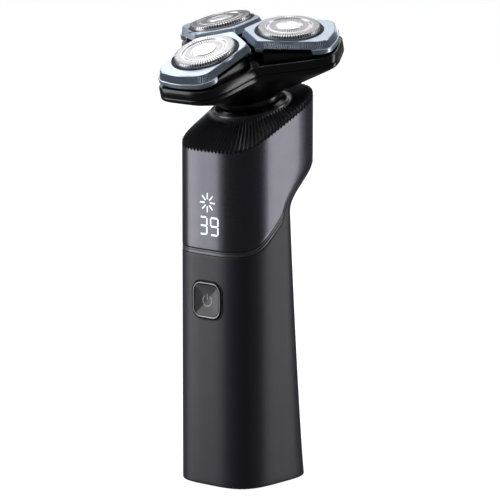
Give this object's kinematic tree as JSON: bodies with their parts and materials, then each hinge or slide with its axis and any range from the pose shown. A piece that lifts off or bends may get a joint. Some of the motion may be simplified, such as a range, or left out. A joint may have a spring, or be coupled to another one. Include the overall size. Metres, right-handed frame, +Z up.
{
  "type": "electric shaver",
  "caption": "Cordless rotary shaver: rounded handle with a lit glossy panel and power button, ribbed collar, and a tilting three-lobed head with spinning cutters.",
  "frame": {"origin": "on the flat underside of the base, under the handle's axis at the base", "axes": "+Z up along the handle; the flat front with the button and the panel faces -Y; +X is to the right when the front faces the viewer"},
  "size_m": [0.0682, 0.061, 0.1644],
  "materials": {
    "grip": "satin dark blue-grey, fine texture",
    "panel": "glossy dark grey",
    "trim": "satin grey",
    "collar": "near-black, satin ribs",
    "black_plastic": "black",
    "gloss_black": "polished black",
    "seal": "soft black",
    "screw_steel": "plain steel",
    "bright_metal": "nickel",
    "bright_ring": "satin silver",
    "button_pad": "black, satin",
    "inner_plastic": "grey moulded",
    "circuit_board": "green laminate",
    "display_light": "white light behind the panel",
    "cell_wrap": "green sleeve",
    "copper": "copper windings",
    "gear_plastic": "natural moulded gear plastic",
    "blue_metal": "light steel-blue metallic",
    "comb_steel": "fine ground steel",
    "comb_bright": "bright"
  },
  "bodies": {
    "handle": {"grip_casing": "grip", "display_cover": "panel", "trim_strip": "trim", "ribbed_collar": "collar", "base_cap": "black_plastic", "base_gasket": "seal", "base_screws": "screw_steel", "charging_socket": "bright_metal", "inner_frame": "inner_plastic", "frame_screws": "screw_steel", "circuit_board": "circuit_board", "display_module": "display_light", "tactile_switch": "black_plastic", "battery_cell": "cell_wrap", "battery_tabs": "bright_metal", "motor_can": "bright_metal", "motor_mount": "inner_plastic", "motor_seal": "seal", "neck_base": "black_plastic", "button_seal": "seal"},
    "button": {"power_button": "button_pad", "button_ring": "bright_ring"},
    "rotor": {"motor_shaft": "screw_steel", "motor_armature": "copper", "drive_ball": "gear_plastic"},
    "gimbal": {"gimbal_ring": "gear_plastic"},
    "head_base": {"head_bowl": "gloss_black", "gear_deck": "inner_plastic", "gear_cover": "black_plastic", "head_gasket": "seal", "head_screws": "screw_steel"},
    "sun": {"sun_gear": "gear_plastic"},
    "shaving_head": {"head_frame": "gloss_black"},
    "planet_front": {"planet_gear_front": "gear_plastic", "spindle_spring_front": "screw_steel"},
    "ring_front": {"blade_ring_front": "blue_metal"},
    "comb_front": {"outer_comb_front": "comb_steel", "comb_disc_front": "comb_bright"},
    "cutter_front": {"inner_cutter_front": "comb_steel", "cutter_hub_front": "black_plastic"},
    "planet_right": {"planet_gear_right": "gear_plastic", "spindle_spring_right": "screw_steel"},
    "ring_right": {"blade_ring_right": "blue_metal"},
    "comb_right": {"outer_comb_right": "comb_steel", "comb_disc_right": "comb_bright"},
    "cutter_right": {"inner_cutter_right": "comb_steel", "cutter_hub_right": "black_plastic"},
    "planet_left": {"planet_gear_left": "gear_plastic", "spindle_spring_left": "screw_steel"},
    "ring_left": {"blade_ring_left": "blue_metal"},
    "comb_left": {"outer_comb_left": "comb_steel", "comb_disc_left": "comb_bright"},
    "cutter_left": {"inner_cutter_left": "comb_steel", "cutter_hub_left": "black_plastic"}
  },
  "joints": [
    {"name": "button_press", "type": "slide", "parent": "handle", "child": "button", "axis": [0, 1, 0], "range_m": [0, 0.0005], "stiffness_N_per_m": 900, "springref_m": -0.0006},
    {"name": "motor_spin", "type": "hinge", "parent": "handle", "child": "rotor", "pos_m": [0, 0.00559, 0.12534], "axis": [0, -0.2588, 0.9659], "continuous": true},
    {"name": "head_tilt", "type": "hinge", "parent": "handle", "child": "gimbal", "pos_m": [0, 0.00222, 0.1379], "axis": [1, 0, 0], "range_deg": [-7, 7], "stiffness_Nm_per_rad": 0.9},
    {"name": "head_roll", "type": "hinge", "parent": "gimbal", "child": "head_base", "pos_m": [0, 0.00222, 0.1379], "axis": [0, 0.9659, 0.2588], "range_deg": [-7, 7], "stiffness_Nm_per_rad": 0.9},
    {"name": "sun_spin", "type": "hinge", "parent": "head_base", "child": "sun", "pos_m": [0, 0.00222, 0.1379], "axis": [0, -0.2588, 0.9659], "continuous": true},
    {"name": "head_lift_off", "type": "slide", "parent": "head_base", "child": "shaving_head", "axis": [0, -0.2588, 0.9659], "range_m": [0, 0.012]},
    {"name": "planet_spin_front", "type": "hinge", "parent": "head_base", "child": "planet_front", "pos_m": [0, -0.01651, 0.14116], "axis": [0, -0.2588, 0.9659], "continuous": true},
    {"name": "ring_tip_front", "type": "hinge", "parent": "shaving_head", "child": "ring_front", "pos_m": [0, -0.03063, 0.14421], "axis": [-1, 0, 0], "range_deg": [0, 4], "stiffness_Nm_per_rad": 0.08, "springref_deg": -5.73},
    {"name": "comb_float_front", "type": "slide", "parent": "ring_front", "child": "comb_front", "axis": [0, -0.3907, 0.9205], "range_m": [-0.0008, 0], "stiffness_N_per_m": 700, "springref_m": 0.0005},
    {"name": "cutter_spin_front", "type": "hinge", "parent": "comb_front", "child": "cutter_front", "pos_m": [0, -0.02079, 0.15347], "axis": [0, -0.3907, 0.9205], "continuous": true},
    {"name": "planet_spin_right", "type": "hinge", "parent": "head_base", "child": "planet_right", "pos_m": [0.01494, 0.00848, 0.14786], "axis": [0, -0.2588, 0.9659], "continuous": true},
    {"name": "ring_tip_right", "type": "hinge", "parent": "shaving_head", "child": "ring_right", "pos_m": [0.02607, 0.01298, 0.1559], "axis": [0.5, -0.8365, -0.2241], "range_deg": [0, 4], "stiffness_Nm_per_rad": 0.08, "springref_deg": -5.73},
    {"name": "comb_float_right", "type": "slide", "parent": "ring_right", "child": "comb_right", "axis": [0.1205, -0.1891, 0.9745], "range_m": [-0.0008, 0], "stiffness_N_per_m": 700, "springref_m": 0.0005},
    {"name": "cutter_spin_right", "type": "hinge", "parent": "comb_right", "child": "cutter_right", "pos_m": [0.01576, 0.00558, 0.16054], "axis": [0.1205, -0.1891, 0.9745], "continuous": true},
    {"name": "planet_spin_left", "type": "hinge", "parent": "head_base", "child": "planet_left", "pos_m": [-0.01494, 0.00848, 0.14786], "axis": [0, -0.2588, 0.9659], "continuous": true},
    {"name": "ring_tip_left", "type": "hinge", "parent": "shaving_head", "child": "ring_left", "pos_m": [-0.02607, 0.01298, 0.1559], "axis": [0.5, 0.8365, 0.2241], "range_deg": [0, 4], "stiffness_Nm_per_rad": 0.08, "springref_deg": -5.73},
    {"name": "comb_float_left", "type": "slide", "parent": "ring_left", "child": "comb_left", "axis": [-0.1205, -0.1891, 0.9745], "range_m": [-0.0008, 0], "stiffness_N_per_m": 700, "springref_m": 0.0005},
    {"name": "cutter_spin_left", "type": "hinge", "parent": "comb_left", "child": "cutter_left", "pos_m": [-0.01576, 0.00558, 0.16054], "axis": [-0.1205, -0.1891, 0.9745], "continuous": true}
  ],
  "couplings": [
    {"joint": "sun_spin", "follows": "motor_spin", "ratio": 1},
    {"joint": "planet_spin_front", "follows": "motor_spin", "ratio": -0.84},
    {"joint": "cutter_spin_front", "follows": "motor_spin", "ratio": -0.84},
    {"joint": "planet_spin_right", "follows": "motor_spin", "ratio": -0.84},
    {"joint": "cutter_spin_right", "follows": "motor_spin", "ratio": -0.84},
    {"joint": "planet_spin_left", "follows": "motor_spin", "ratio": -0.84},
    {"joint": "cutter_spin_left", "follows": "motor_spin", "ratio": -0.84}
  ]
}
